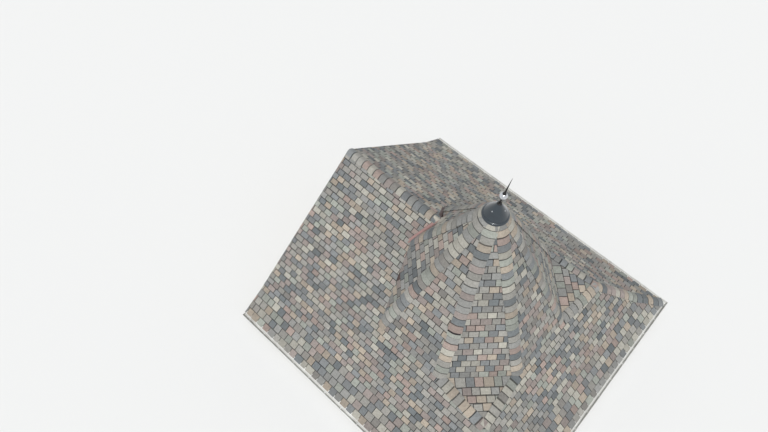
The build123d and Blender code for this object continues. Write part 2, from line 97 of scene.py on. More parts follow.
def upSlope(slope, reach):
    # Distance up the slope at a reach: the level run over the cosine of the pitch.
    return (slope["reach"] - reach) / slope["run"]


def onSlope(slope, s, a, h):
    # Point = foot + s * up + a * along + h * normal, for whole arrays of s, a and h.
    return (slope["foot"] + s[..., None] * slope["up"] + a[..., None] * slope["along"]
            + h[..., None] * slope["normal"])


def levelOf(slope, point):
    # Level of a slope over a plan point: the plane's distance under it, over the normal's rise.
    return -(slope["normal"] @ (np.array([*point, 0.0]) - slope["foot"])) / slope["normal"][2]


spireSlopes = {name: makeSlope(azimuth, roof["spirePitch"], ring, ringLevel)
               for name, azimuth in spireAzimuths.items()}
mainSlopes = {name: makeSlope(azimuth, roof["mainPitch"], roof["break"], breakLevel)
              for name, azimuth in eaveAzimuths.items()}
flareSlopes = {name: makeSlope(azimuth, roof["flarePitch"], roof["eave"], roof["eaveLevel"])
               for name, azimuth in eaveAzimuths.items()}
skirtReach = skirtCorner * math.sqrt(2)
skirtPitch = math.degrees(math.atan2(ringLevel - skirtLevel, skirtReach - ring))
skirtSlopes = {name: makeSlope(azimuth, skirtPitch, skirtReach, skirtLevel)
               for name, azimuth in skirtAzimuths.items()}
print("stage: roof planes worked out")


# Finishes
def newGroup(name, inputs, outputs):
    group = bpy.data.node_groups.new(name, "ShaderNodeTree")
    for socketName, kind, value in inputs:
        socket = group.interface.new_socket(name=socketName, in_out="INPUT", socket_type=kind)
        socket.default_value = value
    for socketName, kind in outputs:
        group.interface.new_socket(name=socketName, in_out="OUTPUT", socket_type=kind)
    return group, group.nodes.new("NodeGroupInput"), group.nodes.new("NodeGroupOutput")


def link(tree, source, target):
    tree.links.new(source, target)


def addNode(tree, kind, settings=None, values=None, links=None):
    # settings are the node's own, values go to its inputs, and links feed its inputs.
    node = tree.nodes.new(kind)
    for key, value in (settings or {}).items():
        setattr(node, key, value)
    for key, value in (values or {}).items():
        node.inputs[key].default_value = value
    for key, source in (links or {}).items():
        link(tree, source, node.inputs[key])
    return node


def placeGroup(tree, group, values, links=None):
    return addNode(tree, "ShaderNodeGroup", {"node_tree": group}, values, links)


def objectCoords(tree):
    return addNode(tree, "ShaderNodeTexCoord").outputs["Object"]


def makeGranules():
    # Mineral granules: fine noise lightens and darkens the colour, which is multiplied by
    # 1 + amount * (noise - 0.5), and gives the bump's height.
    group, start, end = newGroup("granules", [("Color", "NodeSocketColor", (0.5, 0.5, 0.5, 1.0)),
                                              ("Scale", "NodeSocketFloat", 120.0),
                                              ("Amount", "NodeSocketFloat", 0.3)],
                                 [("Color", "NodeSocketColor"), ("Height", "NodeSocketFloat")])
    noise = addNode(group, "ShaderNodeTexNoise", None, {"Detail": 3.0, "Roughness": 0.7},
                    {"Vector": objectCoords(group), "Scale": start.outputs["Scale"]})
    centred = addNode(group, "ShaderNodeMath", {"operation": "SUBTRACT"}, {1: 0.5},
                      {0: noise.outputs["Fac"]})
    scaled = addNode(group, "ShaderNodeMath", {"operation": "MULTIPLY_ADD"}, {2: 1.0},
                     {0: centred.outputs[0], 1: start.outputs["Amount"]})
    mixed = addNode(group, "ShaderNodeVectorMath", {"operation": "SCALE"}, None,
                    {0: start.outputs["Color"], "Scale": scaled.outputs[0]})
    link(group, mixed.outputs[0], end.inputs["Color"])
    link(group, noise.outputs["Fac"], end.inputs["Height"])
    return group


def makeWeathering():
    # Weathering: broad noise mixes a stain colour into the base, more where the noise is high.
    group, start, end = newGroup("weathering", [("Color", "NodeSocketColor", (0.5, 0.5, 0.5, 1.0)),
                                                ("Stain", "NodeSocketColor", (0.2, 0.2, 0.2, 1.0)),
                                                ("Scale", "NodeSocketFloat", 1.0),
                                                ("Amount", "NodeSocketFloat", 0.3)],
                                 [("Color", "NodeSocketColor"), ("Mask", "NodeSocketFloat")])
    noise = addNode(group, "ShaderNodeTexNoise", None,
                    {"Detail": 5.0, "Roughness": 0.6, "Distortion": 0.4},
                    {"Vector": objectCoords(group), "Scale": start.outputs["Scale"]})
    spread = addNode(group, "ShaderNodeMapRange", None, {"From Min": 0.35, "From Max": 0.7},
                     {"Value": noise.outputs["Fac"]})
    share = addNode(group, "ShaderNodeMath", {"operation": "MULTIPLY"}, None,
                    {0: spread.outputs[0], 1: start.outputs["Amount"]})
    # A colour mix has its factor in input 0 and its two colours in 6 and 7.
    mix = addNode(group, "ShaderNodeMix", {"data_type": "RGBA"}, None,
                  {0: share.outputs[0], 6: start.outputs["Color"], 7: start.outputs["Stain"]})
    link(group, mix.outputs[2], end.inputs["Color"])
    link(group, share.outputs[0], end.inputs["Mask"])
    return group


granules = makeGranules()
weathering = makeWeathering()


def linear(red, green, blue):
    # A screen colour of 0 to 255 as scene-linear values.
    return tuple(((c / 255 + 0.055) / 1.055) ** 2.4 if c > 10 else c / 255 / 12.92
                 for c in (red, green, blue)) + (1.0,)


def newFinish(name, roughness, metallic=0.0, coat=0.0):
    material = bpy.data.materials.new(name)
    material.use_nodes = True
    shader = material.node_tree.nodes["Principled BSDF"]
    shader.inputs["Roughness"].default_value = roughness
    shader.inputs["Metallic"].default_value = metallic
    shader.inputs["Coat Weight"].default_value = coat
    return material, material.node_tree, shader


def addBump(tree, shader, height, strength, distance):
    bump = addNode(tree, "ShaderNodeBump", None, {"Strength": strength, "Distance": distance},
                   {"Height": height})
    link(tree, bump.outputs["Normal"], shader.inputs["Normal"])


# Paints and metals: the plain look, and what each finish adds to it or changes
plainLook = {"metallic": 0.0, "coat": 0.0, "stainScale": 1.5, "stainAmount": 0.35, "rougher": 0.2,
             "grainScale": 60.0, "grainAmount": 0.12, "bumpStrength": 0.15, "bumpDistance": 0.002}
plainLooks = {
    "darkUnderlay": {"color": (40, 37, 38), "stain": (60, 54, 52), "roughness": 0.95,
                     "grainScale": 150.0, "grainAmount": 0.5},
    "ceilingPaint": {"color": (222, 219, 211), "stain": (200, 192, 178), "roughness": 0.8,
                     "stainScale": 0.7},
    "whiteTrimPaint": {"color": (228, 226, 220), "stain": (176, 168, 154), "roughness": 0.5,
                       "stainScale": 2.2, "stainAmount": 0.4, "grainScale": 24.0,
                       "grainAmount": 0.06},
    "whiteGutterEnamel": {"color": (232, 232, 228), "stain": (142, 138, 130), "roughness": 0.35,
                          "stainScale": 2.6, "stainAmount": 0.5, "grainScale": 30.0,
                          "grainAmount": 0.08},
    "maroonEnamel": {"color": (158, 126, 121), "stain": (124, 92, 88), "roughness": 0.5,
                     "stainScale": 5.0, "stainAmount": 0.6, "grainScale": 50.0},
    # A darker copy of the maroon, as painted shade, for the north valley metal and the valley flashing
    # beside the rib
    "shadedMaroonEnamel": {"color": (84, 66, 63), "stain": (64, 50, 48), "roughness": 0.5,
                         "stainScale": 5.0, "stainAmount": 0.6, "grainScale": 50.0},
    "paleSheetMetal": {"color": (186, 182, 170), "stain": (132, 124, 112), "roughness": 0.5,
                       "metallic": 0.2, "stainScale": 7.0, "stainAmount": 0.5},
    "darkCapEnamel": {"color": (36, 47, 55), "stain": (26, 32, 39), "roughness": 0.28,
                      "coat": 0.45, "stainScale": 5.0, "stainAmount": 0.6, "grainScale": 22.0,
                      "grainAmount": 0.14, "bumpStrength": 0.10, "bumpDistance": 0.005},
    "blackIron": {"color": (26, 26, 28), "stain": (44, 38, 34), "roughness": 0.45,
                  "metallic": 0.3, "stainScale": 14.0},
    "silverBall": {"color": (208, 210, 213), "stain": (150, 153, 158), "roughness": 0.07,
                   "metallic": 1.0, "stainScale": 11.0, "stainAmount": 0.4, "grainScale": 40.0,
                   "grainAmount": 0.06, "bumpStrength": 0.03}}


def makePlainFinish(name, look):
    # A painted or metal finish: its colour is stained by weathering and then speckled, and it
    # is rougher where it is stained.
    material, tree, shader = newFinish(name, look["roughness"], look["metallic"], look["coat"])
    weather = placeGroup(tree, weathering,
                         {"Color": linear(*look["color"]), "Stain": linear(*look["stain"]),
                          "Scale": look["stainScale"], "Amount": look["stainAmount"]})
    grain = placeGroup(tree, granules, {"Scale": look["grainScale"], "Amount": look["grainAmount"]},
                       {"Color": weather.outputs["Color"]})
    roughest = min(look["roughness"] + look["rougher"], 1.0)
    rough = addNode(tree, "ShaderNodeMapRange", None,
                    {"To Min": look["roughness"], "To Max": roughest},
                    {"Value": weather.outputs["Mask"]})
    link(tree, grain.outputs["Color"], shader.inputs["Base Color"])
    link(tree, rough.outputs[0], shader.inputs["Roughness"])
    addBump(tree, shader, grain.outputs["Height"], look["bumpStrength"], look["bumpDistance"])
    return material


shingleLook = {"palette": [(123, 126, 127), (149, 147, 141), (166, 163, 153), (164, 153, 139),
                           (146, 136, 131), (149, 152, 144), (106, 111, 113), (138, 138, 135),
                           (156, 140, 132), (131, 128, 123)],
               "shares": [0.13, 0.16, 0.12, 0.11, 0.11, 0.09, 0.08, 0.10, 0.05, 0.05],
               "fade": 0.19, "stain": (116, 115, 112), "roughness": 0.93, "bump": (0.5, 0.003),
               "weathering": {"Scale": 0.9, "Amount": 0.25},
               "mottle": {"Scale": 20.0, "Amount": 0.85},
               "speckle": {"Scale": 190.0, "Amount": 0.6}}


def makeShingleFinish(name, look):
    # Each tab carries a tone, which picks a colour of the palette, and a fade, which lightens or
    # darkens it at random, or makes its faces of painted shade all but black; a broad stain, mottling
    # and granules come on top.
    material, tree, shader = newFinish(name, look["roughness"])
    tone = addNode(tree, "ShaderNodeAttribute", {"attribute_name": "tone"})
    ramp = addNode(tree, "ShaderNodeValToRGB", None, None, {"Fac": tone.outputs["Fac"]})
    ramp.color_ramp.interpolation = "CONSTANT"
    place, total = 0.0, sum(look["shares"])
    for number, (color, share) in enumerate(zip(look["palette"], look["shares"])):
        if number < 2:  # a new ramp has two stops
            stop = ramp.color_ramp.elements[number]
            stop.position = place
        else:
            stop = ramp.color_ramp.elements.new(place)
        stop.color = linear(*color)
        place += share / total
    fade = addNode(tree, "ShaderNodeAttribute", {"attribute_name": "fade"})
    light = addNode(tree, "ShaderNodeMath", {"operation": "MULTIPLY_ADD"},
                    {1: look["fade"], 2: 1.0}, {0: fade.outputs["Fac"]})
    faded = addNode(tree, "ShaderNodeVectorMath", {"operation": "SCALE"}, None,
                    {0: ramp.outputs["Color"], "Scale": light.outputs[0]})
    weather = placeGroup(tree, weathering, {"Stain": linear(*look["stain"]), **look["weathering"]},
                         {"Color": faded.outputs[0]})
    mottle = placeGroup(tree, granules, look["mottle"], {"Color": weather.outputs["Color"]})
    speckle = placeGroup(tree, granules, look["speckle"], {"Color": mottle.outputs["Color"]})
    link(tree, speckle.outputs["Color"], shader.inputs["Base Color"])
    addBump(tree, shader, speckle.outputs["Height"], *look["bump"])
    return material


timberLook = {"pale": (206, 176, 132), "dark": (160, 122, 82), "roughness": 0.75,
              "bump": (0.2, 0.002), "grain": {"Scale": 90.0, "Amount": 0.25},
              "wave": {"Scale": 9.0, "Distortion": 7.0, "Detail": 3.0, "Detail Scale": 1.6}}


def makeTimberFinish(name, look):
    # Sawn softwood: bands of darker grain from a wave that noise distorts.
    material, tree, shader = newFinish(name, look["roughness"])
    wave = addNode(tree, "ShaderNodeTexWave", {"bands_direction": "DIAGONAL"}, look["wave"],
                   {"Vector": objectCoords(tree)})
    mix = addNode(tree, "ShaderNodeMix", {"data_type": "RGBA"},
                  {6: linear(*look["pale"]), 7: linear(*look["dark"])}, {0: wave.outputs["Fac"]})
    grain = placeGroup(tree, granules, look["grain"], {"Color": mix.outputs[2]})
    link(tree, grain.outputs["Color"], shader.inputs["Base Color"])
    addBump(tree, shader, wave.outputs["Fac"], *look["bump"])
    return material


boardLook = {"color": (214, 208, 196), "groove": (112, 106, 98), "stain": (150, 142, 130),
             "width": 0.19, "grooveShare": 0.07, "roughness": 0.6, "bump": (0.6, 0.006),
             "weathering": {"Scale": 1.3, "Amount": 0.3}, "grain": {"Scale": 45.0, "Amount": 0.08}}
waveBand = 0.314  # width of one band of the wave texture at a scale of 1


def makeBoardFinish(name, look):
    # Painted boards: a band wave across the wall cuts a groove at each board's edge.
    material, tree, shader = newFinish(name, look["roughness"])
    wave = addNode(tree, "ShaderNodeTexWave", {"bands_direction": "Z", "wave_profile": "SAW"},
                   {"Scale": waveBand / look["width"], "Distortion": 0.0},
                   {"Vector": objectCoords(tree)})
    groove = addNode(tree, "ShaderNodeMapRange", None,
                     {"From Min": 0.0, "From Max": look["grooveShare"]},
                     {"Value": wave.outputs["Fac"]})
    mix = addNode(tree, "ShaderNodeMix", {"data_type": "RGBA"},
                  {6: linear(*look["groove"]), 7: linear(*look["color"])}, {0: groove.outputs[0]})
    weather = placeGroup(tree, weathering, {"Stain": linear(*look["stain"]), **look["weathering"]},
                         {"Color": mix.outputs[2]})
    grain = placeGroup(tree, granules, look["grain"], {"Color": weather.outputs["Color"]})
    link(tree, grain.outputs["Color"], shader.inputs["Base Color"])
    addBump(tree, shader, groove.outputs[0], *look["bump"])
    return material


finishes = {name: makePlainFinish(name, {**plainLook, **look}) for name, look in plainLooks.items()}
finishes["shingleGranules"] = makeShingleFinish("shingleGranules", shingleLook)
finishes["sawnTimber"] = makeTimberFinish("sawnTimber", timberLook)
finishes["paintedWallBoards"] = makeBoardFinish("paintedWallBoards", boardLook)

# A node takes the finish of the longest of these starts that its name has; the rest is timber
nodeFinishes = {"spire_deck": "darkUnderlay", "main_deck": "darkUnderlay",
                "skirt_deck": "darkUnderlay", "flare_deck": "darkUnderlay",
                "fascia": "whiteTrimPaint", "soffit": "whiteTrimPaint",
                "gutter": "whiteGutterEnamel", "wall_head": "paintedWallBoards",
                "end_wall": "paintedWallBoards", "ceiling_joists": "sawnTimber",
                "ceiling": "ceilingPaint", "metal_cap": "darkCapEnamel",
                "valley_flashing": "shadedMaroonEnamel", "finial_ball": "silverBall",
                "finial": "blackIron"}
for nodeName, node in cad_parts.items():
    starts = [start for start in nodeFinishes if nodeName.startswith(start)]
    finishName = nodeFinishes[max(starts, key=len)] if starts else "sawnTimber"
    node.data.materials.clear()
    node.data.materials.append(finishes[finishName])
print("stage: finishes made and given to the frame's nodes")


# Mesh helpers
doubleDistance = 0.000005


def placePiece(name, vertices, faces, finishName, tones=None, smooth=False):
    # tones holds arrays of one value a face, kept as attributes that the finish reads.
    mesh = bpy.data.meshes.new(name)
    mesh.from_pydata(vertices.reshape(-1, 3).tolist(), [], faces, shade_flat=not smooth)
    for attributeName, values in (tones or {}).items():
        layer = mesh.attributes.new(attributeName, "FLOAT", "FACE")
        layer.data.foreach_set("value", values.astype(np.float32))
    work = bmesh.new()
    work.from_mesh(mesh)
    bmesh.ops.remove_doubles(work, verts=work.verts, dist=doubleDistance)
    work.to_mesh(mesh)
    work.free()
    mesh.materials.append(finishes[finishName])
    piece = bpy.data.objects.new(name, mesh)
    bpy.context.scene.collection.objects.link(piece)
    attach(piece, "root")


def slabFaces(pieces, rows, columns):
    # Closed plates: each piece is a grid of rows by columns on top and one below it. The faces are
    # the top's quads, the bottom's turned over, and a strip round the rim.
    size = rows * columns
    grid = np.arange(size).reshape(rows, columns)
    quads = np.stack([grid[:-1, :-1], grid[:-1, 1:], grid[1:, 1:], grid[1:, :-1]], -1).reshape(-1, 4)
    rim = np.concatenate([grid[0, :-1], grid[:-1, -1], grid[-1, :0:-1], grid[:0:-1, 0]])
    after = np.roll(rim, -1)
    sides = np.stack([rim, rim + size, after + size, after], -1)
    one = np.concatenate([quads, quads[:, ::-1] + size, sides])
    every = one[None] + (np.arange(pieces) * 2 * size)[:, None, None]
    return every.reshape(-1, 4).tolist(), len(one)


def placeSlabs(name, top, bottom, finishName, slotName, tones=None, shaded=None):
    # top and bottom hold pieces, rows, columns and the three coordinates, and tones one value a
    # piece. The faces of each piece that the last argument picks are painted shade, as dark as the
    # strips between courses.
    pieces, rows, columns = top.shape[:3]
    vertices = np.concatenate([top.reshape(pieces, -1, 3), bottom.reshape(pieces, -1, 3)], 1)
    faces, facesEach = slabFaces(pieces, rows, columns)
    repeated = {key: np.repeat(values, facesEach) for key, values in (tones or {}).items()}
    if shaded is not None:
        repeated["fade"].reshape(pieces, facesEach)[:, shaded] = shingle["shadeFade"]
    placePiece(name, vertices, faces, finishName, repeated)


# Shingle tabs. jitter is a share of a tab's width; nips and the spread after it spread a tab's own
# nip and its band of painted shade below the next course, and pieces of less than leastArea are left
# out.
shingle = {"gap": 0.018, "jitter": 0.10, "shift": 0.02, "ragged": 0.005, "lap": 0.014,
           "nip": 0.010, "nips": (0.4, 1.6), "shadeBands": (0.7, 1.3), "lift": (-0.002, 0.003),
           "buttHeight": 0.022, "headHeight": 0.009, "thickness": 0.009, "overhang": 0.012,
           "hipInset": 0.030, "shadeFade": -4.2, "leastArea": 0.0012, "pointWidth": 0.00001}
roofTabs = {"width": 0.222, "shadeBand": 0.024}
spireTabs = {"width": 0.240, "shadeBand": 0.029}


def drawTabs(row, foot, exposure, reachA, tabs):
    # One course as the eight corners of each tab in s and a, from the left nip round. The joints
    # are a width apart, and half a width over in every other course. The butt's corners are
    # nipped off, and the line where the band of painted shade below the next course's butts
    # begins lies between sides and head.
    width = tabs["width"]
    joints = 2 * int(reachA / width) + 4
    jitter = rng.uniform(-shingle["jitter"], shingle["jitter"], joints)
    edges = (np.arange(joints) - joints / 2 + (row % 2) / 2 + jitter) * width
    edges += rng.uniform(-shingle["shift"], shingle["shift"])
    left, right = edges[:-1] + shingle["gap"] / 2, edges[1:] - shingle["gap"] / 2
    count = left.size
    butt = foot + rng.uniform(-shingle["ragged"], shingle["ragged"], count)
    head = np.full(count, foot + exposure + shingle["lap"])
    # The line where the band of painted shade below the next course's butts begins.
    shadeLine = foot + exposure - tabs["shadeBand"] * rng.uniform(*shingle["shadeBands"], count)
    nip = shingle["nip"] * rng.uniform(*shingle["nips"], count)
    lift = rng.uniform(*shingle["lift"], count)
    tone, fade = rng.random(count), rng.uniform(-1, 1, count)
    s = np.stack([butt + nip, butt, butt, butt + nip, shadeLine, head, head, shadeLine], 1)
    a = np.stack([left, left + nip, right - nip, right, right, right, left, left], 1)
    return s, a, lift, tone, fade


def holdTabs(s, a, leftEdge, rightEdge):
    # a is held between the two edges at each corner's s, or at their middle where they cross.
    low, high = np.interp(s, *leftEdge), np.interp(s, *rightEdge)
    crossed, middle = low > high, (low + high) / 2
    a = np.clip(a, np.where(crossed, middle, low), np.where(crossed, middle, high))
    s = s.copy()
    # Where a tab has run out to a point at the line of painted shade or at the nips, it ends there.
    for corner, beside, tip in ((4, 7, slice(5, 7)), (3, 0, slice(1, 3))):
        point = (a[:, corner] - a[:, beside] < shingle["pointWidth"])[:, None]
        s[:, tip] = np.where(point, s[:, corner, None], s[:, tip])
        a[:, tip] = np.where(point, a[:, corner, None], a[:, tip])
    return s, a


def tabFaces(count):
    # Faces of closed tabs, each with eight corners above and eight below: the top up to the line of
    # painted shade, the strip of painted shade past it, the underside and eight sides.
    base = (np.arange(count) * 16)[:, None]
    rim = np.arange(8)
    after = (rim + 1) % 8
    tops, strips = np.array([0, 1, 2, 3, 4, 7]) + base, np.array([7, 4, 5, 6]) + base
    undersides = rim[::-1] + 8 + base
    sides = np.stack([rim, rim + 8, after + 8, after], -1)[None] + base[:, :, None]
    parts = [part.tolist() for part in (tops, strips, undersides, sides)]
    return [face for top, strip, underside, rims in zip(*parts)
            for face in (top, strip, underside, *rims)]


def layCourses(name, slope, start, exposures, spans, tabs, missing=None):
    # Courses of tabs from start up the slope, held within each span's left and right edges. A
    # tab's height off the slope falls evenly from butt to head. The tab at missing is left out.
    reachA = max(max(np.abs(edge[1])) for span in spans for edge in span) + tabs["width"]
    corners, tones, fades = [], [], []
    foot = start
    for row, exposure in enumerate(exposures):
        drawnS, drawnA, lift, tone, fade = drawTabs(row, foot, exposure, reachA, tabs)
        butt, head = drawnS[:, 1], drawnS[:, 5]
        for leftEdge, rightEdge in spans:
            s, a = holdTabs(drawnS, drawnA, leftEdge, rightEdge)
            area = 0.5 * np.abs((a * np.roll(s, -1, 1) - np.roll(a, -1, 1) * s).sum(1))
            keep = area > shingle["leastArea"]
            if missing is not None:
                middle = onSlope(slope, s.mean(1), a.mean(1), np.zeros(len(s)))
                keep &= np.linalg.norm(middle - missing, axis=1) > 0.5 * tabs["width"]
            share = (head[:, None] - s) / (head - butt)[:, None]
            height = (lift[:, None] + shingle["headHeight"]
                      + (shingle["buttHeight"] - shingle["headHeight"]) * share)
            top = onSlope(slope, s, a, height)
            bottom = onSlope(slope, s, a, height - shingle["thickness"])
            corners.append(np.concatenate([top, bottom], 1)[keep])
            tones.append(tone[keep])
            fades.append(fade[keep])
        foot += exposure
    corners = np.concatenate(corners)
    faces = tabFaces(len(corners))
    facesEach = len(faces) // len(corners)
    fades = np.repeat(np.concatenate(fades), facesEach).reshape(-1, facesEach)
    # Painted shade: the strip below the next course's butts, the underside and the sides are all but
    # black.
    fades[:, 1:] = shingle["shadeFade"]
    tones = {"tone": np.repeat(np.concatenate(tones), facesEach), "fade": fades.reshape(-1)}
    placePiece(name, corners, faces, "shingleGranules", tones)


def edgeLine(slope, knots):
    # An edge of a slope as s and a, from knots of reach and a, in order up the slope.
    return [upSlope(slope, reach) for reach, a in knots], [a for reach, a in knots]


def mirror(edge):
    # The same edge on the other side of the slope's middle line.
    return edge[0], [-a for a in edge[1]]


def flip(spans):
    # The same spans with left and right changed over, for the slope on the other side.
    return [(mirror(right), mirror(left)) for left, right in spans]


# Gaps beside the valleys: at their foot, below and above their bend, at their head as a multiple of
# the upper one, over the step at the bend, and in the seam between the two halves
valleyGap = {"foot": 0.001, "lower": 0.012, "upper": 0.085, "head": 1.3, "step": 0.0001,
             "seam": 0.0006}
spireCourses = {"rows": 24, "topReach": 0.235, "lostReach": 1.33}
inset, topReach = shingle["hipInset"], spireCourses["topReach"]
bendReach, headReach = -valleyBend[0], -valleyHead[0]
spireExposure = upSlope(spireSlopes["west"], topReach) / spireCourses["rows"]
lostReach = spireCourses["lostReach"]
lostTab = np.array([-lostReach, -lostReach, breakLevel + (roof["break"] - lostReach) * mainFall])

for name, slope in spireSlopes.items():
    topEdge = topReach * eighth - inset
    hip = edgeLine(slope, [(ring, ringCorner - inset), (topReach, topEdge)])
    spans = [(mirror(hip), hip)]
    exposures = [spireExposure] * spireCourses["rows"]
    if name in ("southwest", "northwest"):
        valley = edgeLine(slope, [(ring, ringCorner - valleyGap["foot"]),
                                  (bendReach, valleyGap["lower"] - bendReach * eighth),
                                  (topReach, -topEdge)])
        spans = [(valley, hip)]
    if name == "northwest":
        spans = flip(spans)
    if name == "west":
        # Between the valleys the courses run in two halves, and above their head from hip to hip.
        gapReach, bendEdge = headReach - valleyGap["upper"], inset - bendReach * eighth
        halves = math.ceil(upSlope(slope, gapReach) / spireExposure)
        layCourses("shingles_spire_west_top", slope, halves * spireExposure, exposures[halves:],
                   spans, spireTabs)
        halfHip = edgeLine(slope, [(bendReach, bendEdge), (topReach, -topEdge)])
        seam = edgeLine(slope, [(bendReach, bendEdge), (gapReach, -valleyGap["seam"]),
                                (topReach, -valleyGap["seam"])])
        spans = [(halfHip, seam)] + flip([(halfHip, seam)])
        exposures = exposures[:halves]
    layCourses(f"shingles_spire_{name}", slope, 0.0, exposures, spans, spireTabs,
               lostTab if name == "southwest" else None)

mainCourses = {"flareRows": 4, "mainRows": 10, "eavePast": 0.02, "ridgeGap": 0.02}
cutEdge = ([0.0], [-roof["rear"]])


def sideSpans(name, edge):
    # From the wing's cut end to an edge, from hip to hip on the east, and flipped on the north.
    spans = [(mirror(edge) if name == "east" else cutEdge, edge)]
    return flip(spans) if name == "north" else spans


for name, main in mainSlopes.items():
    flare = flareSlopes[name]
    footReach = roof["eave"] + mainCourses["eavePast"]
    hip = edgeLine(flare, [(footReach, footReach - inset), (roof["break"], roof["break"] - inset)])
    exposure = (upSlope(flare, roof["break"]) + shingle["overhang"]) / mainCourses["flareRows"]
    layCourses(f"shingles_flare_{name}", flare, -shingle["overhang"],
               [exposure] * mainCourses["flareRows"], sideSpans(name, hip), roofTabs)

    ringLine = upSlope(main, ring)
    hip = edgeLine(main, [(roof["break"], roof["break"] - inset),
                          (skirtCorner, skirtCorner - inset), (ring, ringCorner - inset)])
    exposure = ringLine / mainCourses["mainRows"]
    layCourses(f"shingles_main_{name}", main, 0.0, [exposure] * mainCourses["mainRows"],
               sideSpans(name, hip), roofTabs)
    if name != "east":
        valley = edgeLine(main, [(ring, valleyFoot[0]),
                                 (-valleyBend[1] + valleyGap["step"], -bendReach - valleyGap["lower"]),
                                 (-valleyBend[1], -bendReach - valleyGap["upper"]),
                                 (0.0, -headReach - valleyGap["upper"] * valleyGap["head"])])
        rows = int(round((upSlope(main, mainCourses["ridgeGap"]) - ringLine) / exposure))
        layCourses(f"shingles_wing_{name}", main, ringLine, [exposure] * rows,
                   sideSpans(name, valley), roofTabs)

skirtCourses = {"rows": 6, "topShare": 1.35}
for name, skirt in skirtSlopes.items():
    side = edgeLine(skirt, [(skirtReach, 0.0), (ring, ringCorner - inset)])
    shares = np.array([1.0] * (skirtCourses["rows"] - 1) + [skirtCourses["topShare"]])
    exposures = list(shares * upSlope(skirt, ring) / shares.sum())
    layCourses(f"shingles_skirt_{name}", skirt, 0.0, exposures, [(mirror(side), side)], spireTabs)
print("stage: shingle courses laid")


# Hip and ridge caps. rows are places from butt to head, widths and heights spread a cap's half
# and butt height, and liftedCap is the one whose butt has come up, counted from the hip's foot.
hipCap = {"half": 0.165, "round": 0.045, "buttHeight": 0.046, "headHeight": 0.027,
          "thickness": 0.012, "exposure": 0.196, "lap": 0.04, "across": 9,
          "rows": (0.0, 0.4, 0.70, 1.0), "ragged": 0.008, "widths": (0.92, 1.08), "slew": 0.012,
          "heights": (-0.003, 0.004), "droop": 0.010, "lift": 0.050}
mainCap = {**hipCap, "half": 0.150, "exposure": 0.200, "eaveInset": 0.01, "ridgeInset": 0.02}
skirtCap = {**hipCap, "half": 0.135}
liftedCap = {"hip": 6, "number": 8}


def awayFrom(direction, normalA, normalB, sign):
    # Unit vectors across the line where faces A and B meet, one in each face: normal x direction,
    # turned so that it has this sign against the other face's normal, -1 off a hip and 1 off a
    # valley.
    sides = []
    for own, other in ((normalA, normalB), (normalB, normalA)):
        side = np.cross(own, direction)
        sides.append(side if side @ other * sign > 0 else -side)
    return sides


def layCaps(start, end, normalA, normalB, look, lifted=None):
    # A cap is a plate bent over the hip: across it the point is hip + tA * f(q) + tB * f(-q), where
    # f(q) = (q + sqrt(q squared + round squared)) / 2, so that it follows face A on one side and
    # face B on the other, with a rounded top; it is lifted off them along the blended normal, and
    # its butt droops with q squared.
    start, end = np.array(start, float), np.array(end, float)
    length = np.linalg.norm(end - start)
    direction = (end - start) / length
    awayA, awayB = awayFrom(direction, normalA, normalB, -1)
    count = max(int(round(length / look["exposure"])), 1)
    exposure = length / count
    butts = np.arange(count) * exposure + rng.uniform(-look["ragged"], look["ragged"], count)
    v = np.array(look["rows"])
    q = np.linspace(-1, 1, look["across"])
    halves = look["half"] * rng.uniform(*look["widths"], count)
    slew = rng.uniform(-look["slew"], look["slew"], count)
    qGrid = q[None, None, :] * halves[:, None, None] + slew[:, None, None]
    rootTerm = np.sqrt(qGrid ** 2 + look["round"] ** 2)
    onA, onB = (qGrid + rootTerm) / 2, (rootTerm - qGrid) / 2
    weight = (1 + qGrid / rootTerm) / 2
    normal = weight[..., None] * normalA + (1 - weight[..., None]) * normalB
    normal /= np.linalg.norm(normal, axis=-1, keepdims=True)
    lifts = rng.uniform(*look["heights"], count)
    if lifted is not None:
        lifts[lifted] += look["lift"]
    fall = look["buttHeight"] - look["headHeight"] + lifts[:, None]
    height = look["headHeight"] + fall * (1 - v[None])
    droop = look["droop"] * (q ** 2)[None, None, :] * (1 - v)[None, :, None]
    distance = butts[:, None] + v[None] * (exposure + look["lap"])
    distance = np.minimum(distance, length)[..., None] + droop
    base = (start + distance[..., None] * direction + onA[..., None] * awayA
            + onB[..., None] * awayB)
    top = base + normal * height[..., None, None]
    bottom = top - normal * look["thickness"]
    if np.cross(awayA - awayB, -direction) @ (normalA + normalB) > 0:
        top, bottom = top[:, :, ::-1], bottom[:, :, ::-1]
    return top, bottom


def placeCaps(name, runs):
    # Runs of caps as one piece. The last row on top, before the next cap, is painted shade, and so
    # are the underside and the rim.
    top, bottom = [np.concatenate(grids) for grids in zip(*runs)]
    tones = {"tone": rng.random(len(top)), "fade": rng.uniform(-1, 1, len(top))}
    unshadedFaces = (len(hipCap["rows"]) - 2) * (hipCap["across"] - 1)
    placeSlabs(name, top, bottom, "shingleGranules", "shingles", tones, slice(unshadedFaces, None))


def hipPlan(azimuth, reach):
    # Plan point on a hip: the reach over the cosine of half a facet, at the hip's azimuth.
    distance, turn = reach / math.cos(math.radians(halfFacet)), math.radians(azimuth)
    return distance * math.cos(turn), distance * math.sin(turn)


names = list(spireSlopes)
spireHips = []
for name, nextName in zip(names, names[1:] + names[:1]):
    azimuth = spireAzimuths[name] + halfFacet
    facet, start = spireSlopes[name], bendReach if "west" in (name, nextName) else ring
    foot, head = hipPlan(azimuth, start), hipPlan(azimuth, topReach)
    spireHips.append(((*foot, levelOf(facet, foot)), (*head, levelOf(facet, head)),
                      facet["normal"], spireSlopes[nextName]["normal"]))
placeCaps("hip_caps_spire", [layCaps(*hip, hipCap,
                                     liftedCap["number"] if number == liftedCap["hip"] else None)
                             for number, hip in enumerate(spireHips)])
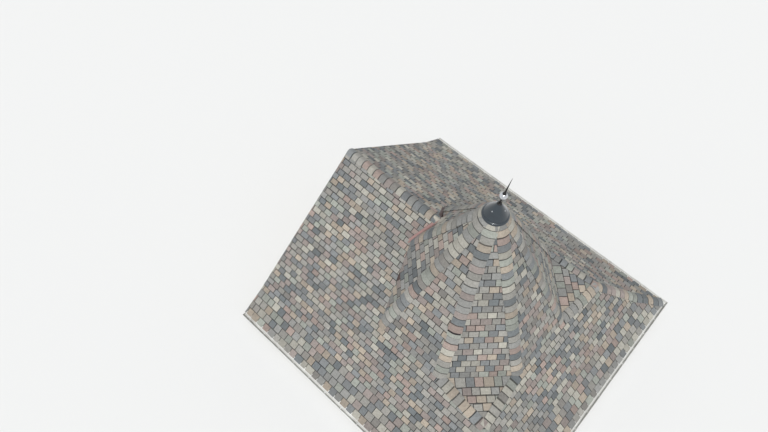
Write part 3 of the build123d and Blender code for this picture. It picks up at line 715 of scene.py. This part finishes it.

# A dark sheet as painted shadow: it shows as a dark slot below the butt of the cap that has come up
hipShadowSheet = {**hipCap, "half": 0.150, "buttHeight": 0.047, "headHeight": 0.043,
               "thickness": 0.004, "lap": 0.0, "below": 0.085, "above": 0.070}
hipStart, hipEnd, *hipNormals = spireHips[liftedCap["hip"]]
hipStart, hipLine = np.array(hipStart), np.array(hipEnd) - np.array(hipStart)
hipLength = np.linalg.norm(hipLine)
liftedButt = liftedCap["number"] * hipLength / round(hipLength / hipCap["exposure"])
slotEnds = [hipStart + hipLine * (liftedButt + step) / hipLength
            for step in (-hipShadowSheet["below"], hipShadowSheet["above"])]
placeSlabs("hip_shadow_sheet", *layCaps(*slotEnds, *hipNormals, hipShadowSheet), "darkUnderlay",
           "shingles")

runs = []
for side, sign in ridgeSides.items():
    low, middle, high = [(reach, sign * reach)
                         for reach in (roof["eave"] - mainCap["eaveInset"], roof["break"], skirtCorner)]
    lowEnd = (*low, levelOf(flareSlopes[side], low))
    middleEnd, highEnd = (*middle, breakLevel), (*high, skirtLevel)
    for slopes, start, end in ((flareSlopes, lowEnd, middleEnd), (mainSlopes, middleEnd, highEnd)):
        runs.append(layCaps(start, end, slopes[side]["normal"], slopes["east"]["normal"], mainCap))
placeCaps("hip_caps_main", runs)

runs = []
for side, sign in ridgeSides.items():
    tip = (skirtCorner, sign * skirtCorner, skirtLevel)
    skirtNormal = skirtSlopes[f"{side}east"]["normal"]
    for beside, foot in ((side, (ringCorner, sign * ring, ringLevel)),
                         ("east", (ring, sign * ringCorner, ringLevel))):
        runs.append(layCaps(tip, foot, skirtNormal, mainSlopes[beside]["normal"], skirtCap))
placeCaps("hip_caps_skirt", runs)

ridgeStart = (-roof["rear"], 0.0, ridgeLevel)
ridgeEnd = (valleyHead[0] - mainCap["ridgeInset"], 0.0, ridgeLevel)
placeCaps("ridge_caps", [layCaps(ridgeStart, ridgeEnd, mainSlopes["south"]["normal"],
                                 mainSlopes["north"]["normal"], mainCap)])
print("stage: hip and ridge caps laid")


# Valley metal. ribTop is the share of the rib's half width that is left at its top.
valleyMetal = {"half": 0.092, "rib": 0.034, "ribHalf": 0.024, "ribTop": 0.4, "thickness": 0.003,
               "rise": 0.012, "steps": 14, "past": 0.10, "dent": 0.0015, "dentTurns": 23.0}


def layValleyMetal(start, end, normalA, normalB, look):
    # A profile carried along the valley: point = start + v * line + profile + dents, where the
    # dents are dent * sin(v * dentTurns). It lies flat on slope A, with a rib that stands up over the
    # valley. On side B the valley's own flashing, in a darker copy of the maroon, shows beside the rib
    # as a line of painted shade.
    start, end = np.array(start, float), np.array(end, float)
    direction = (end - start) / np.linalg.norm(end - start)
    start = start - direction * look["past"]
    awayA, awayB = awayFrom(direction, normalA, normalB, 1)
    middle = normalA + normalB
    middle = middle / np.linalg.norm(middle)
    ribRise = middle * (look["rise"] + look["rib"])
    profile = np.array([awayA * look["half"] + normalA * look["rise"],
                        awayA * look["ribHalf"] + normalA * look["rise"],
                        awayA * look["ribHalf"] * look["ribTop"] + ribRise,
                        awayB * look["ribHalf"] * look["ribTop"] + ribRise,
                        awayB * look["ribHalf"] + normalB * look["rise"]])
    if np.cross(profile[-1] - profile[0], direction) @ middle < 0:
        profile = profile[::-1]
    v = np.linspace(0, 1, look["steps"])[:, None, None]
    top = (start + v * (end - start) + profile[None]
           + look["dent"] * np.sin(v * look["dentTurns"]) * middle)[None]
    return top, top - middle * look["thickness"]


# The north valley metal takes the darker copy of the maroon as painted shade
valleyFinishes = {"south": "maroonEnamel", "north": "shadedMaroonEnamel"}
for side, sign in ridgeSides.items():
    bend = (valleyBend[0], -sign * valleyBend[1])
    low, high = (*bend, levelOf(mainSlopes[side], bend)), (*valleyHead, ridgeLevel)
    top, bottom = layValleyMetal(low, high, mainSlopes[side]["normal"],
                                 spireSlopes["west"]["normal"], valleyMetal)
    placeSlabs(f"valley_metal_{side}", top, bottom, valleyFinishes[side], "maroon_flashing")

# Eaves metal, in distances from the eave's edge, the gutter's top edge or its two long edges
gutter = {"width": 0.125, "below": 0.030}
gutterTop = roof["eaveLevel"] - gutter["below"]
dripEdge = {"inward": 0.060, "outward": 0.030, "bend": 0.010, "proud": 0.004, "down": 0.026,
            "sheet": 0.002, "sheetIn": (0.0, 0.001, 0.002, 0.002)}
starter = {"inward": 0.150, "outward": 0.008, "height": 0.007, "thickness": 0.006, "tone": 0.3,
           "fade": -4.0}
gutterBead = {"radius": 0.0095, "steps": 10, "below": 0.004}
gutterStrap = {"width": 0.028, "spacing": 0.61, "sheet": 0.003, "cornerGap": 0.15, "backGap": 0.004,
               "bothGaps": 0.016, "below": 0.012, "arch": 0.006, "steps": 6}


def alongEave(name, outs, levels):
    # A profile of outs and levels carried along an eave: point = outs * out + place * along
    # + levels * up, where the places are the eave's two ends, mitred at the hips.
    slope = flareSlopes[name]
    low = np.full(len(outs), -roof["rear"]) if name == "south" else -outs
    high = np.full(len(outs), roof["rear"]) if name == "north" else outs
    places = np.stack([low, high], 1)[..., None]
    return (outs[:, None, None] * slope["out"] + places * slope["along"]
            + levels[:, None, None] * upBy(1.0))


def placeDripEdge(name, look):
    # Sheet metal that comes out from under the tabs, bends over the deck's edge and hangs down.
    outs = roof["eave"] + np.array([-look["inward"], look["outward"] - look["bend"],
                                    look["outward"], look["outward"]])
    levels = roof["eaveLevel"] + np.array([look["inward"] * flareFall + look["proud"],
                                           look["proud"], -look["proud"], -look["down"]])
    top = alongEave(name, outs, levels)[None, ::-1]
    below = alongEave(name, outs - look["sheetIn"], levels - look["sheet"])[None, ::-1]
    placeSlabs(f"drip_edge_{name}", top, below, "whiteGutterEnamel", "white_gutter")


def placeStarterStrip(name, look):
    # A plain strip under the first course, made all but black as painted shade so that it shows dark in
    # the gaps between its tabs.
    inward = np.array([look["inward"], -look["outward"]])
    levels = roof["eaveLevel"] + inward * flareFall + look["height"]
    top = alongEave(name, roof["eave"] - inward, levels)[None, ::-1]
    tones = {key: np.array([look[key]]) for key in ("tone", "fade")}
    placeSlabs(f"starter_strip_{name}", top, top - upBy(look["thickness"]), "shingleGranules",
               "shingles", tones)


def placeBead(name, look):
    # A tube carried along the gutter's front lip: out = middle + radius * cos, level = middle
    # + radius * sin.
    turns = np.linspace(0, 2 * math.pi, look["steps"], endpoint=False)
    outs = roof["eave"] + gutter["width"] - look["radius"] + look["radius"] * np.cos(turns)
    levels = gutterTop - look["below"] + look["radius"] * np.sin(turns)
    near = np.arange(look["steps"])
    after, far = np.roll(near, -1), near + look["steps"]
    faces = np.stack([near, far, after + look["steps"], after], 1).tolist()
    faces += [near.tolist(), far[::-1].tolist()]
    placePiece(f"gutter_bead_{name}", alongEave(name, outs, levels).swapaxes(0, 1), faces,
               "whiteGutterEnamel", smooth=True)


def placeStraps(name, look):
    # Flat bars across the gutter that arch by arch * sin(pi * u) from its back to its bead.
    slope = flareSlopes[name]
    limit = roof["eave"] - look["cornerGap"]
    places = np.arange(-limit, limit, look["spacing"])[:, None, None, None]
    u = np.linspace(1, 0, look["steps"])[None, :, None, None]
    outs = roof["eave"] + look["backGap"] + u * (gutter["width"] - look["bothGaps"])
    rises = gutterTop - look["below"] + look["arch"] * np.sin(math.pi * u)
    sides = (np.array([-0.5, 0.5]) * look["width"])[None, None, :, None]
    top = slope["out"] * outs + upBy(1.0) * rises + slope["along"] * (places + sides)
    placeSlabs(f"gutter_straps_{name}", top, top - upBy(look["sheet"]), "whiteGutterEnamel",
               "white_gutter")


for name in eaveAzimuths:
    placeDripEdge(name, dripEdge)
    placeStarterStrip(name, starter)
    placeBead(name, gutterBead)
    placeStraps(name, gutterStrap)
print("stage: valley and eaves metal made")

# Saddle flashing: a small sheet folded over the ridge's end at the head of the valleys
saddle = {"back": 0.20, "front": 0.10, "half": 0.13, "rise": 0.050, "fold": 0.02, "sheet": 0.004,
          "rows": 7, "across": 9}


def laySaddle(look):
    # Level = the higher of the ridge, which falls by sqrt(y squared + fold squared), and the
    # spire's west slope, raised by rise.
    u = np.linspace(look["front"], -look["back"], look["rows"])
    w = np.linspace(-look["half"], look["half"], look["across"])
    u, y = np.meshgrid(u, w, indexing="ij")
    x = valleyHead[0] + u
    ridgeFall = ridgeLevel - np.sqrt(y ** 2 + look["fold"] ** 2)
    spireRise = ringLevel + (ring + x) * spireFall
    return np.stack([x, y, np.maximum(ridgeFall, spireRise) + look["rise"]], -1)[None]


top = laySaddle(saddle)
placeSlabs("saddle_flashing", top, top - upBy(saddle["sheet"]), "paleSheetMetal",
           "maroon_flashing")
print("stage: saddle flashing made")

# Cap's apron: a ring of sheet metal round the foot of the cap. slack is its pitch as a share of
# the cap's.
apron = {"inner": 0.262, "bend": 0.300, "outer": 0.318, "sheet": 0.003, "slack": 0.72,
         "lip": 0.012, "above": 0.020, "turns": 48}
hipRise = spireFall * math.cos(math.radians(halfFacet))


def placeApron(look):
    # A closed profile of radius and level turned about the axis: point = (radius * cos,
    # radius * sin, level).
    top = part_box("metal_cap")[0].z + look["above"]
    bend, outer = [top - (look[key] - look["inner"]) * hipRise * look["slack"]
                   for key in ("bend", "outer")]
    profile = [(look["inner"], top), (look["inner"], top - look["sheet"]),
               (look["bend"], bend - look["sheet"]),
               (look["outer"] - look["sheet"], outer - look["lip"]),
               (look["outer"], outer - look["lip"]), (look["outer"], outer), (look["bend"], bend)]
    radii, levels = np.array(profile).T
    turn = np.linspace(0, 2 * math.pi, look["turns"], endpoint=False)[:, None]
    vertices = np.stack([radii * np.cos(turn), radii * np.sin(turn), levels + 0 * turn], -1)
    grid = np.arange(vertices[..., 0].size).reshape(look["turns"], -1)
    around, along = np.roll(grid, -1, 0), np.roll(grid, -1, 1)
    faces = np.stack([grid, around, np.roll(around, -1, 1), along], -1).reshape(-1, 4).tolist()
    placePiece("cap_apron", vertices, faces, "darkCapEnamel", smooth=True)


placeApron(apron)

# Screws that hold the cap down, with domed washers. The profile has radii and heights, and
# capRim is the radius and the rise of the cap's rim above its lip.
capScrews = {"azimuths": (257, 17, 137), "reach": 0.165, "turns": 16,
             "profile": ((0.0, -0.002), (0.016, -0.002), (0.016, 0.002), (0.011, 0.003),
                         (0.0077, 0.0081), (0.0, 0.009))}
capRim = {"radius": 0.275, "lip": 0.012}
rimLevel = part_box("metal_cap")[0].z + capRim["lip"]


def layScrew(azimuth, look):
    # The profile of radius r and height h turned about the cap's normal: point = seat
    # + r * (cos * along + sin * up) + h * normal.
    out, along = headings(azimuth)
    tilt = math.atan(hipRise)
    normal = out * math.sin(tilt) + upBy(math.cos(tilt))
    seat = out * look["reach"] + upBy(rimLevel + (capRim["radius"] - look["reach"]) * hipRise)
    radii, heights = np.array(look["profile"]).T[:, :, None, None]
    turn = np.linspace(0, 2 * math.pi, look["turns"], endpoint=False)[:, None]
    circle = np.cos(turn) * along + np.sin(turn) * np.cross(normal, along)
    return seat + radii * circle + heights * normal


screws = np.array([layScrew(azimuth, capScrews) for azimuth in capScrews["azimuths"]])
grid = np.arange(screws[..., 0].size).reshape(screws.shape[:3])
around = np.roll(grid, -1, 2)
faces = np.stack([grid[:, :-1], around[:, :-1], around[:, 1:], grid[:, 1:]], -1).reshape(-1, 4)
placePiece("cap_screws", screws, faces.tolist(), "silverBall", smooth=True)
print("stage: cap's apron and screws made")

# Floor, a wide disc so that its edge looks level from every side
floorLook = {"radius": 160.0, "sides": 128, "color": (0.78, 0.78, 0.77, 1.0), "roughness": 0.95}
turn = np.linspace(0, 2 * math.pi, floorLook["sides"], endpoint=False)
rim = floorLook["radius"] * np.stack([np.cos(turn), np.sin(turn), 0 * turn], -1)
floorMesh = bpy.data.meshes.new("floor")
floorMesh.from_pydata(rim.tolist(), [], [list(range(floorLook["sides"]))])
floor = bpy.data.objects.new("floor", floorMesh)
bpy.context.scene.collection.objects.link(floor)
floorMaterial, floorTree, floorShader = newFinish("paleFloor", floorLook["roughness"])
floorShader.inputs["Base Color"].default_value = floorLook["color"]
floorMesh.materials.append(floorMaterial)

# Sky and key light. The sky lights the roof at skyLight, and shows to the camera and in
# reflections at skyShown.
studio = {"keyAzimuth": 300.0, "keyElevation": 58.0, "keyStrength": 2.3, "keyAngle": 7.0,
          "skyColor": (0.96, 0.98, 1.0, 1.0), "skyLight": 0.55, "skyShown": 0.93}
world = bpy.data.worlds.new("studio")
world.use_nodes = True
sky = world.node_tree
path = addNode(sky, "ShaderNodeLightPath")
shown = path.outputs["Is Camera Ray"]
for ray in ("Is Glossy Ray", "Is Transmission Ray"):
    shown = addNode(sky, "ShaderNodeMath", {"operation": "MAXIMUM"}, None,
                    {0: shown, 1: path.outputs[ray]}).outputs[0]
strength = addNode(sky, "ShaderNodeMath", {"operation": "MULTIPLY_ADD"},
                   {1: studio["skyShown"] - studio["skyLight"], 2: studio["skyLight"]}, {0: shown})
background = sky.nodes["Background"]
background.inputs["Color"].default_value = studio["skyColor"]
link(sky, strength.outputs[0], background.inputs["Strength"])
bpy.context.scene.world = world

keyData = bpy.data.lights.new("keyLight", "SUN")
keyData.energy = studio["keyStrength"]
keyData.angle = math.radians(studio["keyAngle"])
keyLight = bpy.data.objects.new("keyLight", keyData)
bpy.context.scene.collection.objects.link(keyLight)
keyTurn, keyTilt = math.radians(studio["keyAzimuth"]), math.radians(studio["keyElevation"])
keyFrom = Vector((math.cos(keyTurn) * math.cos(keyTilt), math.sin(keyTurn) * math.cos(keyTilt),
                  math.sin(keyTilt)))
keyLight.rotation_euler = keyFrom.to_track_quat("Z", "Y").to_euler()

# Camera. focal is the focal length over the picture's width.
view = {"place": (2.4745, -6.9727, 17.1231), "pitch": 59.36, "yaw": 128.69, "roll": 4.29,
        "focal": 610.3 / 768, "sensor": 36.0, "farthest": 400.0}
pitch, yaw, roll = [math.radians(view[key]) for key in ("pitch", "yaw", "roll")]
forward = Vector((math.cos(pitch) * math.cos(yaw), math.cos(pitch) * math.sin(yaw),
                  -math.sin(pitch)))
right = forward.cross(Vector((0, 0, 1))).normalized()
upward = right.cross(forward)
rolledRight = right * math.cos(roll) + upward * math.sin(roll)
rolledUp = upward * math.cos(roll) - right * math.sin(roll)
cameraData = bpy.data.cameras.new("camera")
cameraData.sensor_width = view["sensor"]
cameraData.lens = view["sensor"] * view["focal"]
cameraData.clip_end = view["farthest"]
camera = bpy.data.objects.new("camera", cameraData)
bpy.context.scene.collection.objects.link(camera)
axes = Matrix((rolledRight, rolledUp, -forward)).transposed().to_4x4()
camera.matrix_world = Matrix.Translation(view["place"]) @ axes
bpy.context.scene.camera = camera
bpy.context.scene.view_settings.view_transform = "Standard"
print("stage: floor, light and camera set")
